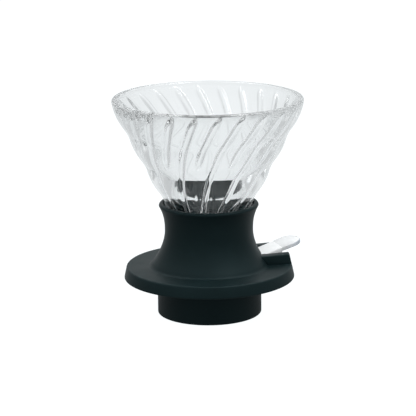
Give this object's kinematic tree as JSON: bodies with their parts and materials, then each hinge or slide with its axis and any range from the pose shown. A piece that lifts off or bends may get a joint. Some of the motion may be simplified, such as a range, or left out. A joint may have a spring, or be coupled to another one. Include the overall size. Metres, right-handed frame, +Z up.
{
  "type": "pour over dripper",
  "caption": "Immersion pour-over dripper: ribbed glass cone in a black silicone base with a ball valve and a clear lever that opens it.",
  "frame": {"origin": "on the vertical axis of the cone and the base, at the bottom face of the collar", "axes": "+Z up along the cone's axis, +X along the lever towards its tip"},
  "size_m": [0.117, 0.116, 0.134],
  "materials": {
    "glass": "clear heatproof glass, fire polished",
    "silicone": "black silicone rubber, fine satin moulding",
    "clear_plastic": "clear moulded plastic, lightly frosted at its root",
    "steel": "polished stainless steel"
  },
  "bodies": {
    "base": {"silicone_base": "silicone"},
    "cone": {"glass_cone": "glass"},
    "lever": {"switch_lever": "clear_plastic"},
    "ball": {"valve_ball": "steel"}
  },
  "joints": [
    {"name": "lever_pivot", "type": "hinge", "parent": "base", "child": "lever", "pos_m": [0.028, 0, 0.0325], "axis": [0, 1, 0], "range_deg": [0, 14]},
    {"name": "ball_lift", "type": "slide", "parent": "base", "child": "ball", "axis": [0, 0, 1], "range_m": [0, 0.0072]},
    {"name": "cone_lift_out", "type": "slide", "parent": "base", "child": "cone", "axis": [0, 0, 1], "range_m": [0, 0.04]}
  ],
  "couplings": [
    {"joint": "ball_lift", "follows": "lever_pivot", "m_per_rad": 0.02906}
  ]
}
